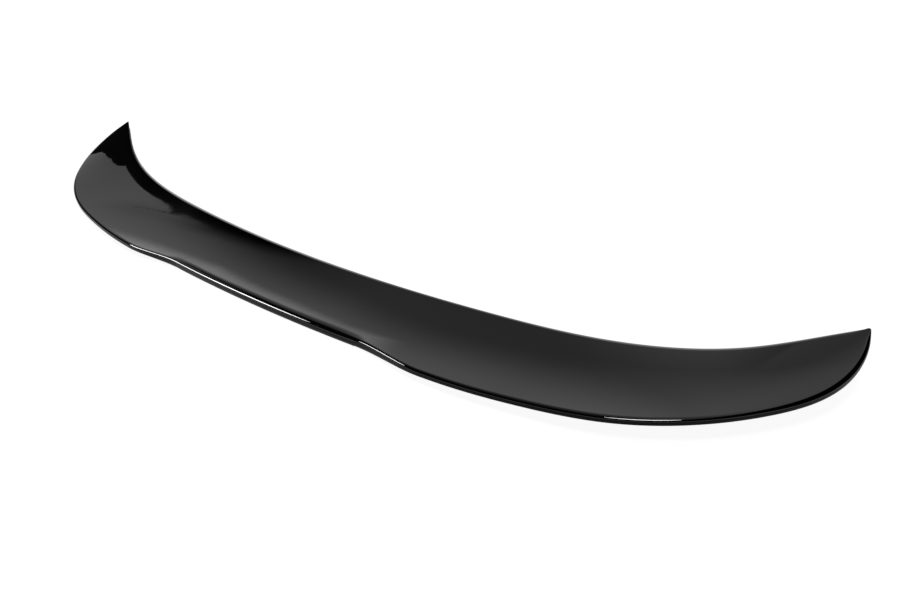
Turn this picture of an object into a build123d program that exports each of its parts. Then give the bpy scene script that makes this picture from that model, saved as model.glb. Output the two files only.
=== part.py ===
"""Rear lip spoiler for a car's boot lid: one moulded shell and the two foam tapes that bond it.

Millimetres. X runs across the car with 0 on its centre line, +Y points to the front of the car and +Z up.
The part lies on its tapes, so Z = 0 is the lowest line of the tapes, and Y = 0 is half of its depth.
The shell is lofted through upright sections that fan out from the centre line to the two tips.
Each section runs from the front edge to the trailing edge: a thin wall with a lip at its rear end.
"""
from build123d import *
import os
import numpy as np
from scipy.interpolate import CubicSpline

os.makedirs("parts", exist_ok=True)

half_span = 580.0           # from the centre line to each tip

# Wall and trailing lip
wall = 3.0                  # moulded wall, measured straight down
lip_wall = 4.0              # thickness of the trailing lip, front to back
lip_foot = 10.0             # thickness of the lip where the rear tape sits
lip_height_lobe = 6.5       # rear face of the two lobes
lip_height_recess = 9.1     # rear face of the recess in the middle
lip_height_tip = 3.4        # rear face at the tips
lip_draft = 0.2             # lean of the lip's inner face, per millimetre of height
tip_taper = 70.0            # the lip runs out over this length before each tip
trailing_roll = 2.5         # radius of the trailing edge, drawn as two flats
front_roll = 2.2            # the front edge falls by this much, drawn the same way
front_roll_width = 5.0      # over this width
front_break = 0.4           # broken lower corner of the front edge

# Foam tapes
tape = 1.1                  # thickness of the foam with its glue
glue_line = 0.3             # between the shell and the foam
front_tape_width = 12.0
front_tape_proud = 0.5      # the foam stands this far out of the front edge
front_tape_gap = 20.0       # from each end of the tape to the tip, along the edge
rear_tape_width = 8.0
rear_tape_inset = 0.8       # from the rear face to the tape
rear_tape_reach = 152.0     # from the centre line to each end of the rear tape

# Front edge from the centre line to the tip: share of the half span, place, height and slope of the surface
front_share = [0, 0.224, 0.448, 0.621, 0.759, 0.862, 0.940, 1.0]
front_x = [half_span * share for share in front_share]
front_y = [-0.7, 3.1, 13.7, 26.1, 43.7, 67.2, 93.6, 116.2]
dip = 0.15                  # the surface sinks by this much behind the middle of the front edge
front_z = [wall + tape + dip, wall + tape + dip, 5.0, 8.4, 15.9, 25.6, 36.3, 43.7]
front_slope = [0.021, 0.018, 0.009, 0.008, 0.040, 0.098, 0.201, 0.296]
curl = 0.00075              # upward bend of the surface behind its front edge, 1 / (2 * radius)

# Trailing edge of the right half in plan
recess_y = -106.0           # middle of the recess
recess_bow = 3.4            # the ends of the recess lie this much further forward
step_start = 150.0          # the step out to each lobe starts here, at the end of the recess
step_end = 246.0            # and ends here
lobe_share = [0.407, 0.5, 0.603, 0.7316, 0.8473, 0.9247, 0.9847, 1.0072, 1.0]
lobe_x = [step_start] + [half_span * share for share in lobe_share]
lobe_y = [-113.8, -110.5, -106.7, -97.8, -79.0, -44.4, -6.2, 38.6, 78.5, 116.2]

# Sections of the right half, by their share of the trailing edge, closer together at the step
section_share = [0, 0.10, 0.19, 0.225, 0.263, 0.30, 0.338, 0.378,
                 0.447, 0.534, 0.62, 0.707, 0.786, 0.858, 0.923, 0.967]
blunt_tip = 2.0             # the last section stands this far from the tip, along the edge
tape_sections = 14          # of each half of a tape
edge_steps = 60             # points that the plan of each edge is measured by
lobe_steps = 200
recess_steps = 20
roll_room = 0.25            # most of a short section's length that a roll may take
lip_room = 0.33             # and that the lip may take
shoulder_share = 1 - 0.5**0.5   # middle corner of a roll, as a share of its radius


def blend(value, low, high):
    """Zero below low, one above high, and smooth between."""
    t = np.clip((value - low) / (high - low), 0.0, 1.0)
    return t * t * (3 - 2 * t)


def over_stations(values):
    """A smooth curve over the front stations, level at the centre line."""
    return CubicSpline(front_x, values, bc_type=((1, 0.0), "not-a-knot"))


edge_y = over_stations(front_y)
edge_z = over_stations(front_z)
edge_slope = over_stations(front_slope)


def height(x, y):
    """The top surface over a point in plan."""
    behind = edge_y(x) - y
    return edge_z(x) - edge_slope(x) * behind + curl * behind**2


def by_share(x, y):
    """A line in plan as a function of the share of its length, and that length."""
    run = np.concatenate([[0.0], np.cumsum(np.hypot(np.diff(x), np.diff(y)))])
    return CubicSpline(run / run[-1], np.column_stack([x, y])), float(run[-1])


def front_line():
    x = np.linspace(front_x[0], front_x[-1], edge_steps)
    return by_share(x, edge_y(x))


def trailing_line():
    lobe, _ = by_share(lobe_x, lobe_y)
    outer = lobe(np.linspace(0.0, 1.0, lobe_steps))
    inner_x = np.linspace(0.0, lobe_x[0], recess_steps)[:-1]
    x = np.concatenate([inner_x, outer[:, 0]])
    lobe_part = np.concatenate([np.full(len(inner_x), lobe_y[0]), outer[:, 1]])
    recess = recess_y + recess_bow * (np.minimum(x, step_end) / step_start) ** 2
    y = recess + (lobe_part - recess) * blend(x, step_start, step_end)
    return by_share(x, y)


front_at, front_length = front_line()
trailing_at, trailing_length = trailing_line()


class Section:
    """One upright section, at the same share of both edges. Negative shares lie on the left."""

    def __init__(self, share):
        self.side = -1.0 if share < 0 else 1.0
        self.front = front_at(abs(share))
        self.rear = trailing_at(abs(share))
        self.length = float(np.hypot(*(self.rear - self.front)))
        to_lobe = blend(self.rear[0], step_start, step_end)
        to_tip = blend(abs(share) * trailing_length, trailing_length - tip_taper, trailing_length)
        drop = lip_height_recess + (lip_height_lobe - lip_height_recess) * to_lobe
        self.drop = float(drop + (lip_height_tip - drop) * to_tip)
        lip = lip_foot + (lip_wall - lip_foot) * to_lobe
        self.lip = float(min(lip, self.length * lip_room))
        self.sole = float(height(*self.rear)) - self.drop

    def plan(self, back):
        return self.front + (self.rear - self.front) * back / self.length

    def point(self, back, drop=0.0):
        """A point at a distance back from the front edge and a depth below the top surface."""
        x, y = self.plan(back)
        return Vector(self.side * float(x), float(y), float(height(x, y)) - drop)

    def under(self, back, drop=0.0):
        """A point at a distance back from the front edge and a depth below the lip's level sole."""
        x, y = self.plan(back)
        return Vector(self.side * float(x), float(y), self.sole - drop)

    def curve(self, start, end, drop):
        """The surface's line between two distances from the front edge."""
        points = [self.point(back, drop) for back in np.linspace(start, end, 4)]
        return Edge.make_spline(points, parameters=[0, 1, 2, 3])

    def shell(self):
        end = self.length
        nose = min(front_roll_width, end * roll_room)
        fall = min(front_roll, nose)
        roll = min(trailing_roll, end * roll_room)
        shoulder = roll * shoulder_share
        inner = end - self.lip
        foot = inner + lip_draft * (self.drop - wall)
        trailing = [self.point(end - roll), self.point(end - shoulder, shoulder), self.point(end, roll),
                    self.under(end), self.under(foot), self.point(inner, wall)]
        front = [self.point(front_break, wall), self.point(0.0, wall - front_break),
                 self.point(0.0, fall),
                 self.point(nose * shoulder_share, fall * shoulder_share), self.point(nose)]
        return Wire([
            self.curve(nose, end - roll, 0.0),
            *Wire.make_polygon(trailing, close=False).edges(),
            self.curve(inner, front_break, wall),
            *Wire.make_polygon(front, close=False).edges(),
        ])

    def front_tape(self):
        start = -front_tape_proud
        end = start + front_tape_width
        upper = wall + glue_line
        lower = wall + tape
        return Wire([
            self.curve(start, end, upper),
            Edge.make_line(self.point(end, upper), self.point(end, lower)),
            self.curve(end, start, lower),
            Edge.make_line(self.point(start, lower), self.point(start, upper)),
        ])

    def rear_tape(self):
        end = self.length - rear_tape_inset
        start = end - rear_tape_width
        return Wire.make_polygon([self.under(start, glue_line), self.under(end, glue_line),
                                  self.under(end, tape), self.under(start, tape)])


def loft(profile, half_shares):
    """A solid through sections from the left end to the right end."""
    shares = [-share for share in reversed(half_shares[1:])] + list(half_shares)
    return Solid.make_loft([profile(Section(share)) for share in shares])


def evenly(end_share):
    return np.linspace(0.0, end_share, tape_sections + 1)


spoiler_shell = loft(Section.shell, section_share + [1 - blunt_tip / trailing_length])
front_tape = loft(Section.front_tape, evenly(1 - front_tape_gap / front_length))
rear_tape = loft(Section.rear_tape, evenly(rear_tape_reach / trailing_length))

export_step(spoiler_shell, "parts/spoiler_shell.step")
export_step(front_tape, "parts/front_tape.step")
export_step(rear_tape, "parts/rear_tape.step")
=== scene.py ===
# %% [markdown]
# # A gloss black lip spoiler for a boot lid
#
# The real part is one thin moulding, sprayed gloss black and polished, with two strips of grey foam
# tape under it. Nearly everything that the eye sees on it is a reflection, so the lesson has two
# halves: a skin smooth enough to carry a reflection, and surroundings that are worth reflecting.
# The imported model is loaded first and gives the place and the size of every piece.

# %% Load the frame
import math
from functools import partial

import bpy
import numpy as np
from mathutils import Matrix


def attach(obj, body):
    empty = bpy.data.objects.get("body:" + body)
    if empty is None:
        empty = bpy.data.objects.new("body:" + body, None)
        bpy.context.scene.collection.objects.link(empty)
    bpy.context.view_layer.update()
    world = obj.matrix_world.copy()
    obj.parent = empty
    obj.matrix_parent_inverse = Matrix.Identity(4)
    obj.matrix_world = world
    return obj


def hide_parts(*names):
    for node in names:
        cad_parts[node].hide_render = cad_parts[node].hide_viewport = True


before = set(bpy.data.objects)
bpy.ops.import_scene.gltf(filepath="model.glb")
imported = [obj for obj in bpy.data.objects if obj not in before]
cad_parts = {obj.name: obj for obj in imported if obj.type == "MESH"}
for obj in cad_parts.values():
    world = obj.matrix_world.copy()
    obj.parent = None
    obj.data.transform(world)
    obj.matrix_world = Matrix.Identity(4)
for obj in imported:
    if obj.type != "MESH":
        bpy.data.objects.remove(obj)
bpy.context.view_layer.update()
MM = 0.001
print("nodes:", sorted(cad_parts))

# %% [markdown]
# ## Two small helpers
#
# Every tree below, of geometry, of a material or of the sky, is a list of nodes with settings and
# links. One function adds a node and takes both, so that a tree reads from top to bottom. A second
# function turns a colour as it is written on a paint card into the linear numbers of the shaders.

# %% Helpers for nodes and colours


def add(tree, kind, *inputs, **settings):
    """Adds a node. Inputs fill its live sockets in order, or by name from one dictionary.
    An input is a value, a socket to link, or a node, which is linked by its first live output."""
    node = tree.nodes.new(kind)
    for name, value in settings.items():
        setattr(node, name, value)
    live = [socket for socket in node.inputs if socket.enabled]
    by_name = len(inputs) == 1 and isinstance(inputs[0], dict)
    for key, value in (inputs[0] if by_name else dict(enumerate(inputs))).items():
        socket = node.inputs[key] if by_name else live[key]
        if isinstance(value, bpy.types.Node):
            value = next(output for output in value.outputs if output.enabled)
        if isinstance(value, bpy.types.NodeSocket):
            tree.links.new(value, socket)
        else:
            socket.default_value = value
    return node


def linear(colour):
    """An sRGB hex colour as linear red, green, blue and alpha."""
    shares = [int(colour[place:place + 2], 16) / 255 for place in (1, 3, 5)]
    return [s / 12.92 if s <= 0.04045 else ((s + 0.055) / 1.055) ** 2.4 for s in shares] + [1.0]


print("mid grey in linear numbers:", [round(part, 3) for part in linear("#808080")[:3]])

# %% [markdown]
# ## The lines that the skin hangs on
#
# In plan the spoiler lies between two lines, the front edge and the trailing edge. Both are smooth
# lines through a few stations, measured from the centre line to the right tip, and the left half
# mirrors them. The height of the surface follows a rule: it leaves the front edge at a slope that
# changes along the span, and curls up behind it. Drawing these lines by hand as curves would come
# close, but a rule gives both halves the same lines, and a reflection shows the least kink.

# %% Stations of the two edges, in millimetres
half_span = 580.0
wall = 3.0
tape = 1.1
dip = 0.15  # the surface sinks by this much behind the middle of the front edge
front_x = half_span * np.array([0, 0.224, 0.448, 0.621, 0.759, 0.862, 0.940, 1.0])
front_y = [-0.7, 3.1, 13.7, 26.1, 43.7, 67.2, 93.6, 116.2]
front_z = [wall + tape + dip, wall + tape + dip, 5.0, 8.4, 15.9, 25.6, 36.3, 43.7]
front_slope = [0.021, 0.018, 0.009, 0.008, 0.040, 0.098, 0.201, 0.296]
curl = 0.00075  # upward bend behind the front edge, 1 / (2 * radius)

recess_y = -106.0
recess_bow = 3.4
step_start = 150.0  # the trailing edge steps out from the recess to each lobe here
step_end = 246.0  # and has reached the lobe here
lobe_share = np.array([0.407, 0.5, 0.603, 0.7316, 0.8473, 0.9247, 0.9847, 1.0072, 1.0])
lobe_x = np.concatenate([[step_start], half_span * lobe_share])
lobe_y = [-113.8, -110.5, -106.7, -97.8, -79.0, -44.4, -6.2, 38.6, 78.5, 116.2]
print("front stations:", len(front_y), "trailing stations:", len(lobe_y))

# %% A smooth line through stations


def smooth_line(stations, values, level_start=False):
    """The cubic line through some stations, as a function. It can start level."""
    at = np.asarray(stations, float)
    values = np.asarray(values, float).reshape(len(at), -1)
    gap = np.diff(at)
    rise = np.diff(values, axis=0) / gap[:, None]
    system = np.zeros((len(at), len(at)))
    target = np.zeros_like(values)
    for i in range(1, len(at) - 1):
        system[i, i - 1:i + 2] = gap[i], 2 * (gap[i - 1] + gap[i]), gap[i - 1]
        target[i] = 3 * (gap[i] * rise[i - 1] + gap[i - 1] * rise[i])
    for end, near, step in ((0, 0, 1), (-1, -1, -1)):
        both = gap[near] + gap[near + step]
        system[end, end] = gap[near + step]
        system[end, end + step] = both
        target[end] = gap[near] ** 2 * rise[near + step]
        target[end] += (gap[near] + 2 * both) * gap[near + step] * rise[near]
        target[end] /= both
    if level_start:
        system[0] = np.eye(len(at))[0]
        target[0] = 0.0
    slope = np.linalg.solve(system, target)

    def line(place):
        i = np.clip(np.searchsorted(at, place) - 1, 0, len(gap) - 1)
        t = ((place - at[i]) / gap[i])[:, None]
        width = gap[i][:, None]
        start = (1 + 2 * t) * (1 - t) ** 2 * values[i] + t * (1 - t) ** 2 * width * slope[i]
        end = t**2 * (3 - 2 * t) * values[i + 1] + t**2 * (t - 1) * width * slope[i + 1]
        return np.squeeze(start + end)

    return line


edge_y = smooth_line(front_x, front_y, level_start=True)
edge_z = smooth_line(front_x, front_z, level_start=True)
edge_slope = smooth_line(front_x, front_slope, level_start=True)
print("height of the front edge at the tips: %.1f mm" % edge_z(np.array([half_span])))

# %% The surface and the two edges


def height(x, y):
    """The top surface over points in plan."""
    behind = edge_y(np.abs(x)) - y
    return edge_z(np.abs(x)) - edge_slope(np.abs(x)) * behind + curl * behind**2


def blend(value, low, high):
    """Zero below low, one above high, and smooth between."""
    t = np.clip((value - low) / (high - low), 0.0, 1.0)
    return t * t * (3 - 2 * t)


def at_shares(x, y, shares):
    """Points of a line in plan at shares of its length, and that length."""
    run = np.concatenate([[0.0], np.cumsum(np.hypot(np.diff(x), np.diff(y)))])
    place = np.asarray(shares) * run[-1]
    return np.column_stack([np.interp(place, run, x), np.interp(place, run, y)]), run[-1]


fine_steps = 4000
inner_steps = fine_steps // 4
front_run = np.linspace(0.0, half_span, fine_steps)
lobe_run = np.concatenate([[0.0], np.cumsum(np.hypot(np.diff(lobe_x), np.diff(lobe_y)))])
lobe_line = smooth_line(lobe_run, np.column_stack([lobe_x, lobe_y]))
lobe = lobe_line(np.linspace(0.0, lobe_run[-1], fine_steps))
inner = np.linspace(0.0, step_start, inner_steps)[:-1]
rear_run = np.concatenate([inner, lobe[:, 0]])
lobe_part = np.concatenate([np.full(len(inner), lobe_y[0]), lobe[:, 1]])
recess = recess_y + recess_bow * (np.minimum(rear_run, step_end) / step_start) ** 2
rear_y = recess + (lobe_part - recess) * blend(rear_run, step_start, step_end)
_, trailing_length = at_shares(rear_run, rear_y, [1.0])
print("trailing edge of one half: %.1f mm" % trailing_length)

# %% [markdown]
# ## Guide lines as a mesh of points
#
# The skin is a stack of upright sections that fan out from the centre line to both tips. Each
# section needs six facts: where it starts, where it ends, two pull points that bend its top line
# as the handles of a curve do, where the inner side of the trailing lip stands, and whether it is
# one of the two closing sections. A mesh with one vertex a section can hold all of them as named
# attributes, and Geometry Nodes reads attributes very easily.

# %% Sections from tip to tip
sections = 480
blunt_tip = 2.0
lip_wall = 4.0
lip_foot = 10.0
lip_room = 0.33
lip_height_lobe = 6.5
lip_height_recess = 9.1
lip_height_tip = 3.4
tip_taper = 70.0

tip_share = 1 - blunt_tip / trailing_length
share = np.linspace(-tip_share, tip_share, sections)
share = np.concatenate([share[:1], share, share[-1:]])
side = np.sign(share)[:, None] * [1, 0] + [0, 1]
front, _ = at_shares(front_run, edge_y(front_run), np.abs(share))
rear, _ = at_shares(rear_run, rear_y, np.abs(share))
length = np.hypot(*(rear - front).T)

to_lobe = blend(rear[:, 0], step_start, step_end)
to_tip = blend(np.abs(share) * trailing_length, trailing_length - tip_taper, trailing_length)
lip_drop = lip_height_recess + (lip_height_lobe - lip_height_recess) * to_lobe
lip_drop += (lip_height_tip - lip_drop) * to_tip
lip = np.minimum(lip_foot + (lip_wall - lip_foot) * to_lobe, length * lip_room)
print("sections:", len(share), "from %.1f to %.1f mm long" % (length.min(), length.max()))

# %% Guide lines


def on_top(across):
    """Points of the top surface at a share of the way from the front edge to the trailing edge."""
    plan = front + (rear - front) * np.reshape(across, (-1, 1))
    return np.column_stack([plan * side, height(plan[:, 0], plan[:, 1])])


start, third, two_thirds, end = (on_top(np.full(len(share), step / 3)) for step in range(4))
lip_point = on_top(1 - lip / length)
lip_point[:, 2] = end[:, 2] - lip_drop
closing = np.zeros((len(share), 3))
closing[[0, -1]] = 1.0

# The pull points lead the curve through the surface at one third and at two thirds of its way
guides = {
    "front_edge": start * MM,
    "front_pull": (-5 * start + 18 * third - 9 * two_thirds + 2 * end) / 6 * MM,
    "rear_pull": (2 * start - 9 * third + 18 * two_thirds - 5 * end) / 6 * MM,
    "trailing_edge": end * MM,
    "lip_sole": lip_point * MM,
    "closing": closing,
}


def point_mesh(name, attributes):
    """A mesh of loose points that carries named vectors."""
    mesh = bpy.data.meshes.new(name)
    for attribute, vectors in attributes.items():
        if not mesh.vertices:
            mesh.vertices.add(len(vectors))
        layer = mesh.attributes.new(attribute, "FLOAT_VECTOR", "POINT")
        layer.data.foreach_set("vector", np.asarray(vectors, np.float32).ravel())
    thing = bpy.data.objects.new(name, mesh)
    bpy.context.scene.collection.objects.link(thing)
    return thing


guide_lines = point_mesh("guide_lines", guides)
print("guide points:", len(guide_lines.data.vertices), "with", len(guides), "attributes")

# %% [markdown]
# ## The ring of one section
#
# A moulding like this has no sharp edge where a hand can reach it: the front edge and the trailing
# edge are rolled, and the corners below are broken. Each corner of the ring is written as how many
# walls and rolls it lies from the guide lines, so the sizes themselves can stay inputs of the tree.
# A roll has a width and a height of its own, because a moulded edge is seldom a true quarter circle.
# A Bevel modifier would round the edges too, but it has no room at the thin tips.

# %% Section ring
top_columns = 46
under_columns = 30
roll_steps = 8
break_steps = 4
under_break = 0.18  # the lower corners are broken by this share of a trailing roll
hold = 1.2  # a row this many roll widths from the edge keeps the roll's shading off the top
foot_share = 0.85  # the lip stands on this share of its width
ring = []


def corner(stretch, back=(0, 0, 0), drop=(0, 0, 0)):
    """One vertex of the ring. Stretch counts section lengths, lip widths and the pull to the sole.
    Back counts widths and drop counts heights: of front rolls, of trailing rolls and of walls."""
    ring.append((stretch, back, drop))


def quarter(steps):
    """The angles of a rounded corner, from its start to its end."""
    return [math.radians(90) * step / steps for step in range(steps + 1)]


corner((0, 0, 0), back=(hold, 0, 0))
for t in np.linspace(0, 1, top_columns)[1:-1]:
    corner((t, 0, 0), back=(hold * (1 - t), -hold * t, 0))
corner((1, 0, 0), back=(0, -hold, 0))
for turn in quarter(roll_steps):
    corner((1, 0, 0), back=(0, math.sin(turn) - 1, 0), drop=(0, 1 - math.cos(turn), 0))
for turn in quarter(break_steps):
    corner((1, 0, 1),
           back=(0, under_break * (math.cos(turn) - 1), 0),
           drop=(0, under_break * (math.sin(turn) - 1), 0))
corner((1, -foot_share, 1))
corner((1, -1, 0), drop=(0, 0, 1))
for t in np.linspace(1, 0, under_columns)[1:]:
    corner((t, -t, 0), back=(0, under_break * (1 - t), 0), drop=(0, 0, 1))
for turn in quarter(break_steps)[1:]:
    corner((0, 0, 0),
           back=(0, under_break * (1 - math.sin(turn)), 0),
           drop=(0, under_break * (math.cos(turn) - 1), 1))
for turn in quarter(roll_steps):
    corner((0, 0, 0), back=(1 - math.cos(turn), 0, 0), drop=(1 - math.sin(turn), 0, 0))
corner((0, 0, 0), back=(hold, 0, 0))

ring_names = ("stretch", "back", "drop")
section_ring = point_mesh("section_ring", dict(zip(ring_names, zip(*ring))))
print("vertices in the ring:", len(ring))

# %% [markdown]
# ## The shell as a Geometry Nodes tree
#
# The tree makes a plain grid, with one row for each section and one column for each corner of the
# ring, and then sets the position of every vertex from the guide lines. The top line of a section
# is a curve with two handles, so a point on it is a mix of mixes of the four guide points. Lofting
# tools hide this step; here each node shows it. The last nodes weld the seam and set the material.

# %% Inputs of the shell's tree
shell_tree = bpy.data.node_groups.new("spoiler_shell_rule", "GeometryNodeTree")
shell_tree.is_modifier = True
tree_inputs = {
    "Guide Lines": "NodeSocketObject",
    "Section Ring": "NodeSocketObject",
    "Sections": "NodeSocketInt",
    "Corners": "NodeSocketInt",
    "Front Roll": "NodeSocketFloat",
    "Front Roll Width": "NodeSocketFloat",
    "Trailing Roll": "NodeSocketFloat",
    "Trailing Roll Width": "NodeSocketFloat",
    "Wall": "NodeSocketFloat",
    "Finish": "NodeSocketMaterial",
}
for name, kind in tree_inputs.items():
    shell_tree.interface.new_socket(name, in_out="INPUT", socket_type=kind)
shell_tree.interface.new_socket("Geometry", in_out="OUTPUT", socket_type="NodeSocketGeometry")
shape = partial(add, shell_tree)
given = shape("NodeGroupInput").outputs
print("inputs:", ", ".join(tree_inputs))

# %% Rows, columns and the facts of each section
index = shape("GeometryNodeInputIndex")
row = shape("ShaderNodeMath", index, given["Sections"], operation="MODULO")
rest = shape("ShaderNodeMath", index, row, operation="SUBTRACT")
column = shape("ShaderNodeMath", rest, given["Sections"], operation="DIVIDE")


def read(source, attribute, place):
    """A named vector of a point mesh, at the vertex with that index."""
    points = shape("GeometryNodeObjectInfo", {"Object": given[source]}).outputs["Geometry"]
    named = shape("GeometryNodeInputNamedAttribute", {"Name": attribute}, data_type="FLOAT_VECTOR")
    whole = shape("ShaderNodeMath", place, operation="ROUND")
    return shape("GeometryNodeSampleIndex", points, named, whole, data_type="FLOAT_VECTOR", clamp=True)


guide = {name: read("Guide Lines", name, row) for name in guides}
stretch, back, drop = (read("Section Ring", name, column) for name in ring_names)


def plan_distance(first, second):
    """How far apart two guide points are, seen from above."""
    gap = shape("ShaderNodeVectorMath", guide[first], guide[second], operation="SUBTRACT")
    flat = shape("ShaderNodeVectorMath", gap, (1.0, 1.0, 0.0), operation="MULTIPLY")
    return shape("ShaderNodeVectorMath", flat, operation="LENGTH")


reach = plan_distance("trailing_edge", "front_edge")
lip_width = plan_distance("trailing_edge", "lip_sole")
print("attributes read:", len(guide) + len(ring_names))

# %% Place of every vertex
roll_room = 0.25  # most of a short section's length that a roll may take
most_roll = shape("ShaderNodeMath", reach, roll_room, operation="MULTIPLY")
front_width = shape("ShaderNodeMath", given["Front Roll Width"], most_roll, operation="MINIMUM")
front_fall = shape("ShaderNodeMath", given["Front Roll"], front_width, operation="MINIMUM")
trailing_width = shape("ShaderNodeMath", given["Trailing Roll Width"], most_roll, operation="MINIMUM")
trailing_fall = shape("ShaderNodeMath", given["Trailing Roll"], trailing_width, operation="MINIMUM")
widths = shape("ShaderNodeCombineXYZ", front_width, trailing_width, given["Wall"])
depths = shape("ShaderNodeCombineXYZ", front_fall, trailing_fall, given["Wall"])
lengths = shape("ShaderNodeCombineXYZ", reach, lip_width)
along = shape("ShaderNodeVectorMath", stretch, lengths, operation="DOT_PRODUCT")
pulled = shape("ShaderNodeVectorMath", back, widths, operation="DOT_PRODUCT")
behind = shape("ShaderNodeMath", along, pulled, operation="ADD")
across = shape("ShaderNodeMath", behind, reach, operation="DIVIDE")

handles = [guide[name] for name in ("front_edge", "front_pull", "rear_pull", "trailing_edge")]
while len(handles) > 1:
    handles = [shape("ShaderNodeMix", across, *pair, data_type="VECTOR", clamp_factor=False)
               for pair in zip(handles, handles[1:])]
x, y, top = shape("ShaderNodeSeparateXYZ", handles[0]).outputs
sole = shape("ShaderNodeSeparateXYZ", guide["lip_sole"]).outputs[2]
on_sole = shape("ShaderNodeSeparateXYZ", stretch).outputs[2]
settled = shape("ShaderNodeMix", on_sole, top, sole, data_type="FLOAT")
sunk = shape("ShaderNodeVectorMath", drop, depths, operation="DOT_PRODUCT")
lowered = shape("ShaderNodeMath", settled, sunk, operation="SUBTRACT")
place = shape("ShaderNodeCombineXYZ", x, y, lowered)

middle_top = shape("ShaderNodeMix", 0.5, guide["front_edge"], guide["trailing_edge"], data_type="VECTOR")
half_wall = shape("ShaderNodeMath", given["Wall"], 0.5, operation="MULTIPLY")
inward = shape("ShaderNodeCombineXYZ", 0.0, 0.0, half_wall)
middle = shape("ShaderNodeVectorMath", middle_top, inward, operation="SUBTRACT")
at_end = shape("ShaderNodeSeparateXYZ", guide["closing"]).outputs[0]
closed = shape("ShaderNodeMix", at_end, place, middle, data_type="VECTOR")
print("nodes so far:", len(shell_tree.nodes))

# %% From the grid to the finished skin
weld_distance = 0.01 * MM
grid = shape("GeometryNodeMeshGrid", {"Vertices X": given["Corners"], "Vertices Y": given["Sections"]})
shaped = shape("GeometryNodeSetPosition", {"Geometry": grid, "Position": closed})
welded = shape("GeometryNodeMergeByDistance", {"Geometry": shaped, "Distance": weld_distance})
smooth = shape("GeometryNodeSetShadeSmooth", {"Geometry": welded})
real = shape("GeometryNodeRealizeInstances", {"Geometry": smooth})
finished = shape("GeometryNodeSetMaterial", {"Geometry": real, "Material": given["Finish"]})
shape("NodeGroupOutput", {"Geometry": finished})
print("nodes in the shell's tree:", len(shell_tree.nodes))

# %% [markdown]
# ## Gloss black lacquer over ABS
#
# The moulding is ABS, sprayed with black base coat and clear lacquer. Its own colour is nearly
# nothing, so the finish is the mirror of the clear coat: an index of 1.5 and almost no roughness.
# Lacquer is never as flat as glass. It dries with orange peel, a soft ripple some millimetres wide,
# over slower waves of the moulding itself. Both make the borders of reflections waver, and without
# them the part looks computed. A few specks of dust settle on any black car part.

# %% Black lacquer
plastic_index = 1.5  # index of refraction, of lacquer as of ABS
noise_low = 0.3  # nearly all of a noise lies between these two
noise_high = 0.7
peel_width = 16.0 * MM  # real orange peel is finer, and would not show from here
peel_depth = 0.010 * MM
wave_width = 70.0 * MM
wave_depth = 0.018 * MM
dust_width = 0.9 * MM  # coarser than real dust, so that it can show
speck_from = 0.68  # noise at the rim of a speck
speck_to = 0.82  # and at its middle
dust_share = 0.012  # most that a speck lightens the black
best_polish = 0.015  # roughness of the lacquer
worst_polish = 0.030


def black_lacquer():
    """Sprayed and polished lacquer: a deep black that shows only what it mirrors."""
    material = bpy.data.materials.new("black_lacquer_on_abs")
    material.use_nodes = True
    tree = material.node_tree
    tree.nodes.clear()
    place = add(tree, "ShaderNodeTexCoord").outputs["Object"]
    waves = add(tree, "ShaderNodeTexNoise", {"Vector": place, "Scale": 1 / wave_width, "Detail": 0.0})
    moulded = add(tree, "ShaderNodeBump", {"Distance": wave_depth, "Height": waves.outputs[0]})
    ripple = add(tree, "ShaderNodeTexNoise", {"Vector": place, "Scale": 1 / peel_width, "Detail": 1.0})
    peel = add(tree, "ShaderNodeBump",
               {"Distance": peel_depth, "Height": ripple.outputs[0], "Normal": moulded.outputs[0]})
    specks = add(tree, "ShaderNodeTexNoise", {"Vector": place, "Scale": 1 / dust_width, "Detail": 2.0})
    dust = add(tree, "ShaderNodeMapRange", specks, speck_from, speck_to, 0.0, dust_share)
    colour = add(tree, "ShaderNodeMix", dust, linear("#020202"), linear("#8a8a88"), data_type="RGBA")
    polish = add(tree, "ShaderNodeMapRange", waves, noise_low, noise_high, best_polish, worst_polish)
    surface = add(tree, "ShaderNodeBsdfPrincipled",
                  {"Base Color": colour, "Roughness": polish, "IOR": plastic_index, "Normal": peel})
    add(tree, "ShaderNodeOutputMaterial", {"Surface": surface})
    return material


lacquer = black_lacquer()
print("finish:", lacquer.name)

# %% [markdown]
# ## Bare ABS below the edge, with painted shade
#
# The rear face and the underside get black ABS with a fine grain, satin and much duller than the
# lacquer.
# Its specular level is a tenth of that of plastic, which is painted shade: it darkens the rear face as
# if it mirrored the shadow on the floor in front of it. On a pale floor this matters, because a polished
# rear face would mirror the floor and draw a grey line along the trailing edge.

# %% Bare ABS, with painted shade
grain_width = 1.2 * MM  # a mould's grain is finer, and would not show from here
grain_depth = 0.01 * MM
satin_low = 0.30  # roughness of the mould's skin
satin_high = 0.40
# painted shade: this low specular level darkens the rear face as if it mirrored a shadow on the floor
painted_shade_shine = 0.05  # specular level, where polished plastic has 0.5


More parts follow.
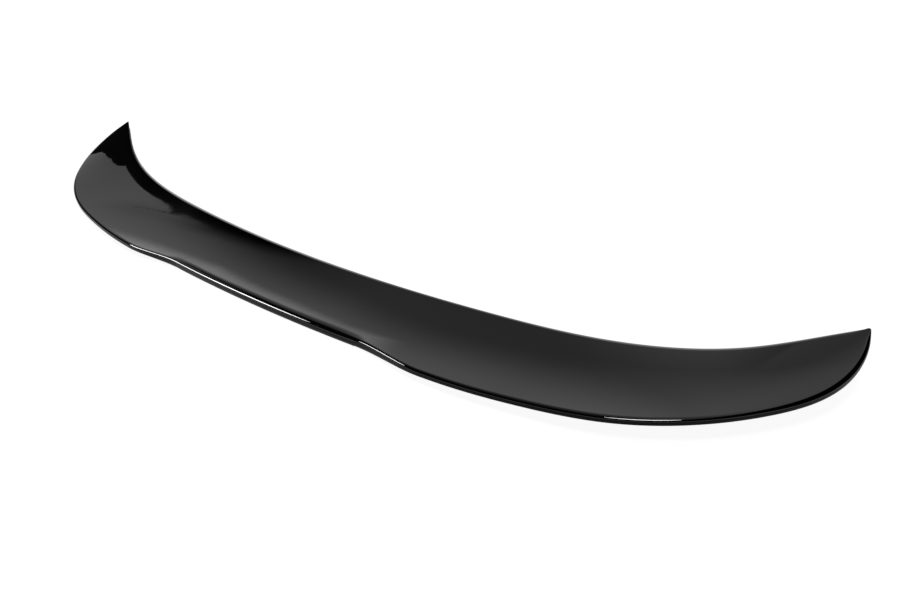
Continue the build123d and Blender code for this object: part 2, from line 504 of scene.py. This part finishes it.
def bare_abs_painted_shade():
    """Moulded ABS with a fine grain: nearly black, with a wide and weak sheen that is weakened further
    as painted shade.
    """
    material = bpy.data.materials.new("bare_abs_with_painted_shade")
    material.use_nodes = True
    tree = material.node_tree
    tree.nodes.clear()
    place = add(tree, "ShaderNodeTexCoord").outputs["Object"]
    grain = add(tree, "ShaderNodeTexNoise", {"Vector": place, "Scale": 1 / grain_width, "Detail": 2.0})
    colour = add(tree, "ShaderNodeMix", grain, linear("#020202"), linear("#060606"), data_type="RGBA")
    sheen = add(tree, "ShaderNodeMapRange", grain, noise_low, noise_high, satin_low, satin_high)
    relief = add(tree, "ShaderNodeBump", {"Distance": grain_depth, "Height": grain.outputs[0]})
    surface = add(tree, "ShaderNodeBsdfPrincipled",
                  {"Base Color": colour, "Roughness": sheen, "IOR": plastic_index, "Normal": relief,
                   "Specular IOR Level": painted_shade_shine})
    add(tree, "ShaderNodeOutputMaterial", {"Surface": surface})
    return material


bare_shaded_abs = bare_abs_painted_shade()
print("finish below the edge:", bare_shaded_abs.name)

# %% [markdown]
# ## Grow the shell
#
# A modifier runs the tree on an empty mesh. Its inputs are set by the identifiers of their sockets,
# and the result is copied into a plain mesh. The modifier could stay on the object instead, but the
# next steps move single vertices and give some faces another finish, which only a plain mesh allows.

# %% Grow the shell and turn it into a plain mesh
front_roll = 2.2 * MM
front_roll_width = 5.0 * MM
trailing_roll = 2.5 * MM
trailing_roll_width = 4.5 * MM
crease_angle = math.radians(40)

seed = bpy.data.objects.new("shell_seed", bpy.data.meshes.new("shell_seed"))
bpy.context.scene.collection.objects.link(seed)
grow = seed.modifiers.new("rule", "NODES")
grow.node_group = shell_tree
wanted = {
    "Guide Lines": guide_lines,
    "Section Ring": section_ring,
    "Sections": len(share),
    "Corners": len(ring),
    "Front Roll": front_roll,
    "Front Roll Width": front_roll_width,
    "Trailing Roll": trailing_roll,
    "Trailing Roll Width": trailing_roll_width,
    "Wall": wall * MM,
    "Finish": lacquer,
}
for socket in shell_tree.interface.items_tree:
    if socket.in_out == "INPUT":
        grow[socket.identifier] = wanted[socket.name]

graph = bpy.context.evaluated_depsgraph_get()
shell_mesh = bpy.data.meshes.new_from_object(seed.evaluated_get(graph))
shell_mesh.name = "lacquered_shell"
for helper in (seed, guide_lines, section_ring):
    bpy.data.objects.remove(helper)
print("shell:", len(shell_mesh.polygons), "faces")

# %% [markdown]
# ## A skin that falls to its edges
#
# The last centimetres of a moulding sink a little towards its edges, and polishing takes more off
# there. It is a millimetre at most, which nobody sees as a height. The slope that it makes still
# turns the reflection: it draws the black band along the front edge of the far lobe and the dark
# strip along the recess. A bump map would turn the reflection as well, but a bend that is this wide
# belongs to the shape. Only the skin sinks, and the underside stays where the tapes need it.

# %% Let the skin fall a little to its edges, in millimetres
front_sink_x = [0.0, 200.0, 400.0, half_span]
front_sink_z = [0.0, 0.06, 0.95, 1.1]
front_sink = smooth_line(front_sink_x, front_sink_z, level_start=True)
front_sink_width = 36.0
recess_sink = 0.9
recess_sink_width = 10.0
recess_fade = 30.0  # the sink of the recess fades out over this length before and after its end

points = np.zeros((len(shell_mesh.vertices), 3), np.float32)
shell_mesh.vertices.foreach_get("co", points.ravel())
from_middle = np.minimum(np.abs(points[:, 0]) / MM, half_span)
to_front = points[:, 1] / MM
front_near = np.clip(1 - (edge_y(from_middle) - to_front) / front_sink_width, 0.0, 1.0)
front_sinks = front_sink(from_middle) * front_near**2
to_recess = to_front - np.interp(from_middle, rear_run[:len(inner)], rear_y[:len(inner)])
recess_near = np.clip(1 - to_recess / recess_sink_width, 0.0, 1.0)
in_recess = blend(from_middle, step_start + recess_fade, step_start - recess_fade)
recess_sinks = recess_sink * recess_near**2 * in_recess
depth = height(from_middle, to_front) - points[:, 2] / MM
on_skin = np.clip(1 - depth / wall, 0.0, 1.0)
sinks = (front_sinks + recess_sinks) * on_skin
points[:, 2] -= sinks * MM
shell_mesh.vertices.foreach_set("co", points.ravel())
shell_mesh.set_sharp_from_angle(angle=crease_angle)
print("deepest fall: %.2f mm" % sinks.max())

# %% [markdown]
# ## Two finishes on one moulding: lacquer, and bare ABS with painted shade
#
# The lacquer covers the faces that look up. Where the skin turns down over the trailing edge, the
# faces get the dull bare ABS, whose weak shine paints shade on the rear face. A mask painted by hand
# could mark that border. Here each face tells by its own direction which finish it has, so the
# border follows the edge all the way round.

# %% Lacquer above, bare ABS with painted shade below
# faces turned down get the bare ABS, whose weak shine is painted shade on the rear face
lowest_unshaded_rise = 0.2  # a face whose normal rises less than this stays bare
facing = np.zeros((len(shell_mesh.polygons), 3), np.float32)
shell_mesh.polygons.foreach_get("normal", facing.ravel())
turned_down = facing[:, 2] < lowest_unshaded_rise
shell_mesh.materials.clear()
for finish in (lacquer, bare_shaded_abs):
    shell_mesh.materials.append(finish)
shell_mesh.polygons.foreach_set("material_index", turned_down.astype(np.int32))
print("faces with lacquer:", int((~turned_down).sum()), "bare:", int(turned_down.sum()))

# %% Put the shell in its place
shell = bpy.data.objects.new("lacquered_shell", shell_mesh)
bpy.context.scene.collection.objects.link(shell)
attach(shell, "root")
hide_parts("spoiler_shell")
print("pieces of the look:", shell.name)

# %% [markdown]
# ## Foam tape
#
# Two strips of acrylic foam tape bond the part to the boot lid. Their shape is simple and the CAD
# solids have it, so they stay and only get a finish: matt grey foam with fine closed cells. At the
# front the foam stands half a millimetre out of the edge, which shows as a pale line from close by.

# %% Foam tape
cell_width = 0.6 * MM  # two or three real cells wide, so that it can show
cell_depth = 0.05 * MM
cell_strength = 0.6
foam_roughness = 0.85


def foam():
    """Cut foam tape: matt and grey, with cells just large enough to see close by."""
    material = bpy.data.materials.new("closed_cell_foam_tape")
    material.use_nodes = True
    tree = material.node_tree
    tree.nodes.clear()
    place = add(tree, "ShaderNodeTexCoord").outputs["Object"]
    cells = add(tree, "ShaderNodeTexVoronoi", {"Vector": place, "Scale": 1 / cell_width})
    colour = add(tree, "ShaderNodeMix", cells, linear("#6c6c6c"), linear("#868686"), data_type="RGBA")
    relief = add(tree, "ShaderNodeBump",
                 {"Strength": cell_strength, "Distance": cell_depth, "Height": cells.outputs[0]})
    surface = add(tree, "ShaderNodeBsdfPrincipled",
                  {"Base Color": colour, "Roughness": foam_roughness, "Normal": relief})
    add(tree, "ShaderNodeOutputMaterial", {"Surface": surface})
    return material


foam_tape = foam()
taped = ("front_tape", "rear_tape")
for node in taped:
    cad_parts[node].data.materials.clear()
    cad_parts[node].data.materials.append(foam_tape)
print("foam on:", ", ".join(taped))

# %% [markdown]
# ## Floor
#
# The part lies on a plain white floor. A part of its brightness is its own, for the camera and for
# the mirrors, so that it comes out white; the rest is lit, so it still takes the soft shadow that
# shows where the part touches it.

# %% Floor
floor_size = 12.0
floor_glow = 0.93  # the share of white that is the floor's own


def white_floor():
    """Matt white paper, which stays white in the picture and in the reflections."""
    material = bpy.data.materials.new("white_paper_floor")
    material.use_nodes = True
    tree = material.node_tree
    tree.nodes.clear()
    rays = add(tree, "ShaderNodeLightPath").outputs
    mirrored = add(tree, "ShaderNodeMath", rays["Is Glossy Ray"], rays["Is Transmission Ray"],
                   operation="MAXIMUM")
    seen = add(tree, "ShaderNodeMath", rays["Is Camera Ray"], mirrored, operation="MAXIMUM")
    level = add(tree, "ShaderNodeMath", seen, floor_glow, operation="MULTIPLY")
    glow = add(tree, "ShaderNodeEmission", {"Color": linear("#ffffff"), "Strength": level})
    matt = add(tree, "ShaderNodeBsdfDiffuse", {"Color": linear("#606060")})
    both = add(tree, "ShaderNodeAddShader", glow, matt)
    add(tree, "ShaderNodeOutputMaterial", {"Surface": both})
    return material


half_floor = floor_size / 2
floor_corners = [(side_x * half_floor, side_y * half_floor, 0) for side_x, side_y in
                 ((-1, -1), (1, -1), (1, 1), (-1, 1))]
floor_mesh = bpy.data.meshes.new("floor")
floor_mesh.from_pydata(floor_corners, [], [(0, 1, 2, 3)])
floor_mesh.materials.append(white_floor())
floor = bpy.data.objects.new("floor", floor_mesh)
bpy.context.scene.collection.objects.link(floor)
print("floor: %.0f m square" % floor_size)

# %% [markdown]
# ## Surroundings
#
# Black lacquer has no look of its own, so the studio around it is drawn with the same care as the
# part. In front of it lies a dim room, lighter to the right, with a pale backdrop along the floor,
# a lit ceiling and a low bright strip, between two black walls. To the left hangs a grey card whose
# upper border is a broken line, with nothing but black above it. All of it is far away, so it is
# drawn in the sky: each direction has a turn from the front of the car, to the right, and a rise
# over the horizon, both in degrees, and each panel is cut out by straight soft edges over those
# two. Real panels as planes would do the same, but every move of one would also change the light.

# %% Directions in the sky
world = bpy.data.worlds.new("studio")
bpy.context.scene.world = world
world.use_nodes = True
world.node_tree.nodes.clear()
sky = partial(add, world.node_tree)
degrees_in_radian = math.degrees(1.0)

direction = sky("ShaderNodeTexCoord").outputs["Generated"]
east, north, up = sky("ShaderNodeSeparateXYZ", direction).outputs
turn_radians = sky("ShaderNodeMath", east, north, operation="ARCTAN2")
rise_radians = sky("ShaderNodeMath", up, operation="ARCSINE")
angles = sky("ShaderNodeCombineXYZ", turn_radians, rise_radians, 1.0)
bearing = sky("ShaderNodeVectorMath", angles, (degrees_in_radian, degrees_in_radian, 1.0),
              operation="MULTIPLY")


def soft_edge(across, rising, offset, width):
    """Across * turn + rising * rise + offset: one where it is above width, nothing where below zero."""
    inside = sky("ShaderNodeVectorMath", bearing, (across, rising, offset), operation="DOT_PRODUCT")
    return sky("ShaderNodeMapRange", inside, 0.0, width, 0.0, 1.0, interpolation_type="SMOOTHSTEP")


print("sky nodes for the directions:", len(world.node_tree.nodes))

# %% The room in front
light_side = math.radians(40)
dark_level = 0.01
dim_level = 0.29
window_level = 0.67
backdrop_level = 0.6
ceiling_level = 0.5
strip_level = 0.8
far_level = 0.16
backdrop_top = 32.5
backdrop_blur = 9.0
strip_blur = 1.4
strip_top = ((0.82, 70.5), (0.36, 44.7), (0.15, 34.1))  # lean and offset of each straight edge

to_light = (math.sin(light_side), math.cos(light_side), 0.0)
toward = sky("ShaderNodeVectorMath", direction, to_light, operation="DOT_PRODUCT")
dim = sky("ShaderNodeMapRange", toward, -0.20, 0.08, dark_level, dim_level,
          interpolation_type="SMOOTHSTEP")
window = sky("ShaderNodeMapRange", toward, 0.26, 0.43, 0.0, window_level,
             interpolation_type="SMOOTHSTEP")
room = sky("ShaderNodeMath", dim, window, operation="ADD")

backdrop = sky("ShaderNodeMath", soft_edge(0.0, -1.0, backdrop_top, backdrop_blur),
               soft_edge(0.29, -1.0, 46.4, backdrop_blur), operation="MINIMUM")
low_light = sky("ShaderNodeMath", backdrop, backdrop_level, room, operation="MULTIPLY_ADD")

overhead = sky("ShaderNodeMapRange", toward, 0.0, 0.2, 0.0, ceiling_level,
               interpolation_type="SMOOTHSTEP")
ceiling = sky("ShaderNodeMath", soft_edge(0.0, 1.0, -36.0, 8.0), overhead, operation="MULTIPLY")
under_ceiling = sky("ShaderNodeMath", low_light, ceiling, operation="MAXIMUM")

strip = sky("ShaderNodeMath", soft_edge(1.0, 0.0, 60.3, 0.6), soft_edge(-1.0, 0.0, -41.0, 4.0),
            operation="MINIMUM")
for lean, offset in strip_top:
    strip = sky("ShaderNodeMath", strip, soft_edge(lean, -1.0, offset, strip_blur), operation="MINIMUM")
with_strip = sky("ShaderNodeMath", strip, strip_level, under_ceiling, operation="MULTIPLY_ADD")

walls = sky("ShaderNodeMath", soft_edge(1.0, -0.861, 82.5, 2.6), soft_edge(-1.0, 0.0, 32.0, 12.0),
            operation="MINIMUM")
inside_walls = sky("ShaderNodeMath", with_strip, walls, operation="MULTIPLY")
far_ceiling = sky("ShaderNodeMath", soft_edge(0.0, 1.0, -42.0, 6.0), soft_edge(-1.0, 0.0, -40.0, 6.0),
                  operation="MINIMUM")
right_room = sky("ShaderNodeMath", far_ceiling, far_level, inside_walls, operation="MULTIPLY_ADD")
print("sky nodes with the room:", len(world.node_tree.nodes))

# %% The card to the left, and the horizon
card_level = 0.52
gap_level = 0.012
card_blur = 0.3
card_top = ((0.0, 34.4), (1.19, 112.6), (2.46, 200.4), (7.75, 574.4))

card = sky("ShaderNodeMath", soft_edge(-8.6, -1.0, -496.2, 0.4), soft_edge(1.0, -1.0, 85.4, 0.4),
           operation="MAXIMUM")
for lean, offset in card_top:
    card = sky("ShaderNodeMath", card, soft_edge(lean, -1.0, offset, card_blur), operation="MINIMUM")
left_room = sky("ShaderNodeMath", card, card_level, gap_level, operation="MULTIPLY_ADD")
on_left = soft_edge(-1.0, 0.0, -59.2, 2.0)
front_room = sky("ShaderNodeMix", on_left, right_room, left_room, data_type="FLOAT")
rear_room = sky("ShaderNodeMath", soft_edge(0.0, -1.0, backdrop_top, backdrop_blur), backdrop_level,
                operation="MULTIPLY")
to_rear = sky("ShaderNodeMath", soft_edge(-1.0, 0.0, -95.0, 20.0), soft_edge(1.0, 0.0, -95.0, 20.0),
              operation="MAXIMUM")
whole_room = sky("ShaderNodeMix", to_rear, front_room, rear_room, data_type="FLOAT")
horizon = soft_edge(0.0, -1.0, 15.0, 3.0)
level = sky("ShaderNodeMath", whole_room, horizon, operation="MAXIMUM")
studio = sky("ShaderNodeBackground", {"Color": linear("#ffffff"), "Strength": level})
sky("ShaderNodeOutputWorld", {"Surface": studio})
print("sky nodes in all:", len(world.node_tree.nodes))

# %% [markdown]
# ## Lamps
#
# Two large round lamps light the part, one over it and one to its left. They are soft, and far
# enough for their light to fall evenly, which a Sun lamp with a wide angle gives. The rolled
# trailing edge mirrors each of them as a thin bright line, and only where it faces the right way.

# %% Lamps


def lamp(name, turn, rise, width, strength):
    """A round far lamp at a turn from the front of the car and a rise over the horizon, in degrees."""
    data = bpy.data.lights.new(name, "SUN")
    data.angle = math.radians(width)
    data.energy = strength
    thing = bpy.data.objects.new(name, data)
    thing.rotation_euler = (math.radians(rise - 90), 0.0, math.radians(-turn))
    bpy.context.scene.collection.objects.link(thing)
    return thing


lamps = [
    lamp("lamp_left", turn=-91.0, rise=42.5, width=12.0, strength=0.9),
    lamp("lamp_over", turn=0.0, rise=90.0, width=15.0, strength=1.5),
]
print("lamps:", ", ".join(thing.name for thing in lamps))

# %% [markdown]
# ## Camera
#
# The photograph looks down on the part from behind its right end, close by, so the near lobe is
# much larger than the far one. Place, turn and lens were worked out from the two edges.

# %% Camera
camera_data = bpy.data.cameras.new("camera")
camera_data.lens = 27.50
camera_data.sensor_width = 36.0
camera_data.sensor_fit = "HORIZONTAL"
camera = bpy.data.objects.new("camera", camera_data)
camera.location = (0.60423, -0.46271, 0.45511)
camera.rotation_euler = [math.radians(angle) for angle in (53.3690, 5.3230, 36.1818)]
bpy.context.scene.collection.objects.link(camera)
bpy.context.scene.camera = camera
bpy.context.scene.view_settings.view_transform = "Standard"
print("camera stands %.0f mm from the part's middle" % (camera.location.length / MM))
